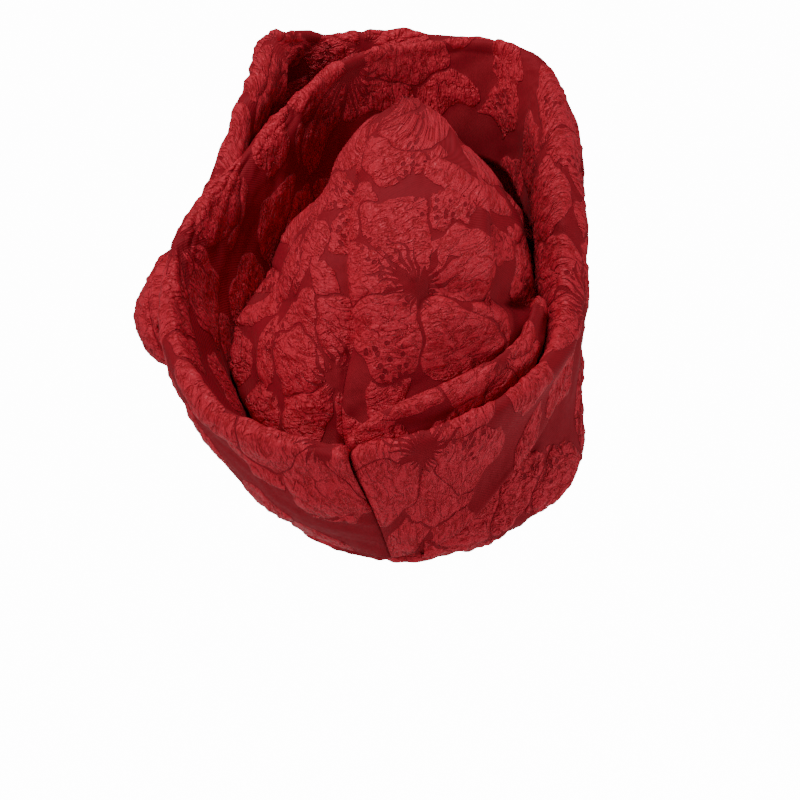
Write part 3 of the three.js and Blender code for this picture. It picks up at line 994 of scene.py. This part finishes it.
def ridge_height(cloth):
    x, across = cloth["x"], cloth["across"]
    share = np.interp(across[0], CAP_RIDGE["across"], CAP_RIDGE["along"])
    row = np.arange(len(share))
    past = x - x[np.round(share * (len(x) - 1)).astype(int), row]
    fold = RIDGE_HEIGHTS["crest"] * bell(past, 0, 5) - RIDGE_HEIGHTS["hollow"] * plateau(past, 0, 15, 24, 50)
    return fold * plateau(across, 0.56, 0.68, 0.93, 1)


def crease_height(cloth):
    along, y = cloth["along"], cloth["y"]
    share = np.interp(along[:, 0], CAP_CREASE["along"], CAP_CREASE["across"])
    column = np.arange(len(share))
    above = y - y[column, np.round(share * (y.shape[1] - 1)).astype(int)][:, None]
    fold = CREASE_HEIGHTS["below"] * bell(above, -20, 12) - CREASE_HEIGHTS["groove"] * bell(above, 0, 7)
    fold += CREASE_HEIGHTS["above"] * bell(above, 24, 14)
    return fold * plateau(along, 0.11, 0.2, 0.4, 0.52)


# %% Cap
CAP_HEIGHTS = {"pucker": 0.6, "seam": 1.3, "hem": 0.6, "sag": 1.4, "valley": 5, "bank": 1.5}


def make_cap(side, name, node, axis):
    cloth = lay_out(name, cap_surface(side), columns=236, rows=196, axis=axis)
    embroider(cloth, CAP_FLOWERS[side], CAP_LEAVES[side], seed=40 + side)
    x, y, across = cloth["x"], cloth["y"], cloth["across"]
    from_seam = np.minimum(x, x[-1] - x)
    sewn = smoothstep(0, 5, from_seam)
    pucker = CAP_HEIGHTS["pucker"] * gathers(y, from_seam, fade=9, wave=2.9, size=(14, 20), seed=5)
    height = sewn * (puff(cloth, seed=60 + side) + pucker) - CAP_HEIGHTS["seam"] * bell(from_seam, 0, 2.6)
    height += CAP_HEIGHTS["hem"] * gathers(x, y, fade=9, wave=2.6, size=(11, 30), seed=6)
    height += CAP_HEIGHTS["sag"] * sag(cloth["place"], "cap")
    valley = CAP_HEIGHTS["valley"] * bell(from_seam, 0, 10) - CAP_HEIGHTS["bank"] * bell(from_seam, 24, 12)
    height -= valley * smoothstep(0.3, 0.45, across)
    if side > 0:
        height += ridge_height(cloth) + crease_height(cloth)
    height *= smoothstep(0, 8, y[:, -1:] - y)
    lean = slump(cloth, height, [band_wall, tuck_wall])
    if side > 0:
        lean *= 1 - 0.5 * smoothstep(0.42, 0.54, across)
    finish_sheet(cloth, height + lean * sewn, node)


make_cap(-1, "cap_left_cloth", "cap_left_panel", axis=0.85)
make_cap(1, "cap_right_cloth", "cap_right_panel", axis=0.18)

# %% [markdown]
# The wrap passes low over the right side and the brow, and rises on the left, where pleats fan
# out from the place where its end is tucked in. A pleat is a slow rise and a quick fall, measured
# as an angle round that place. The wrap's start is turned in under the band, and on the left its
# rim is drawn closer to it, so that no gap opens between the two.

# %% Front wrap: pleats and ends
PLEATS = {"angle": 224, "height": 262, "reach": 118, "start": -196, "step": 28, "depth": 4.5,
          "rise": 0.72, "near": 45, "far": 210}
WRAP_START = {"turned": 13, "share": 0.06}
WRAP_RIM = {"closer": 4, "round": (236, 252, 265, 274), "across": (0.4, 0.65)}


def pleat_height(place):
    angle = np.degrees(np.arctan2(place[..., 0], -place[..., 1])) % 360
    away = np.radians(angle - PLEATS["angle"]) * PLEATS["reach"]
    up = place[..., 2] - PLEATS["height"]
    share = ((np.degrees(np.arctan2(up, away)) - PLEATS["start"]) / PLEATS["step"]) % 1
    ridge = np.where(share < PLEATS["rise"], share / PLEATS["rise"], (1 - share) / (1 - PLEATS["rise"]))
    distance = np.hypot(away, up)
    shown = (1 - np.exp(-distance / PLEATS["near"])) * np.exp(-distance / PLEATS["far"])
    return PLEATS["depth"] * ridge * shown


def tucked_wrap(along, across):
    place = wrap_surface(along, across)
    closer = WRAP_RIM["closer"] * plateau(direction(WRAP_SECTIONS, along), *WRAP_RIM["round"])
    closer *= smoothstep(*WRAP_RIM["across"], across)
    place[:, :2] *= (1 - closer / np.hypot(place[:, 0], place[:, 1]))[:, None]
    turn = np.radians(WRAP_START["turned"]) * (1 - smoothstep(0, WRAP_START["share"], along))
    c, s = np.cos(turn), np.sin(turn)
    x, y, z = place.T
    return np.stack([c * x + s * y, c * y - s * x, z], axis=-1)


# %% [markdown]
# One more fold shapes the wrap's upper left corner: behind a sharp crest the cloth falls into a
# hollow, as the corner of a folded scarf does. The lower right is rumpled, and from the corner
# on the wrap leans on the band. The pleats are heights of the mesh and not a pattern, since they
# show in the outline.

# %% Front wrap
WRAP_FLOWERS = [(0.66, 0.86, 90, 10, 6), (0.80, 0.80, 84, 40, 6)]
WRAP_LEAVES = [(0.124, 0.288, 38, 32, 20)]
CORNER = {"along": 0.80, "crest": 3, "hollow": 9, "across": (0.6, 0.74)}
WRAP_HEIGHTS = {"hem": 0.7, "rumple": 1.8}


def corner_height(cloth):
    x = cloth["x"]
    past = x[round(CORNER["along"] * (len(x) - 1))] - x
    fold = CORNER["crest"] * np.exp(-np.abs(past) / 4) - CORNER["hollow"] * plateau(past, 0, 14, 34, 66)
    return fold * smoothstep(*CORNER["across"], cloth["across"])


def make_wrap():
    cloth = lay_out("wrap_cloth", tucked_wrap, columns=360, rows=130)
    embroider(cloth, WRAP_FLOWERS, WRAP_LEAVES, seed=31)
    x, y, place, along, across = (cloth[name] for name in ("x", "y", "place", "along", "across"))
    fades = 0.65 + 0.2 * smoothstep(0, 60, -place[..., 0])
    height = puff(cloth, seed=35) + plateau(across, 0, 0.3, fades, fades + 0.15) * pleat_height(place)
    height += WRAP_HEIGHTS["hem"] * gathers(x, y, fade=12, wave=3.1, size=(13, 30), seed=32)
    height += sag(place, "wrap")
    low = (1 - smoothstep(0.1, 0.24, along)) * (1 - smoothstep(0.35, 0.6, across))
    height += WRAP_HEIGHTS["rumple"] * low * crinkle(x + 17 * y / 30, y, size=(17, 13), seed=36)
    height *= 0.1 + 0.9 * smoothstep(0, 6, y)
    height += corner_height(cloth)
    lean = slump(cloth, height, [band_wall])
    height += lean * smoothstep(0.82, 0.85, along) * smoothstep(0.6, 0.75, across)
    finish_sheet(cloth, height, "front_wrap")


make_wrap()
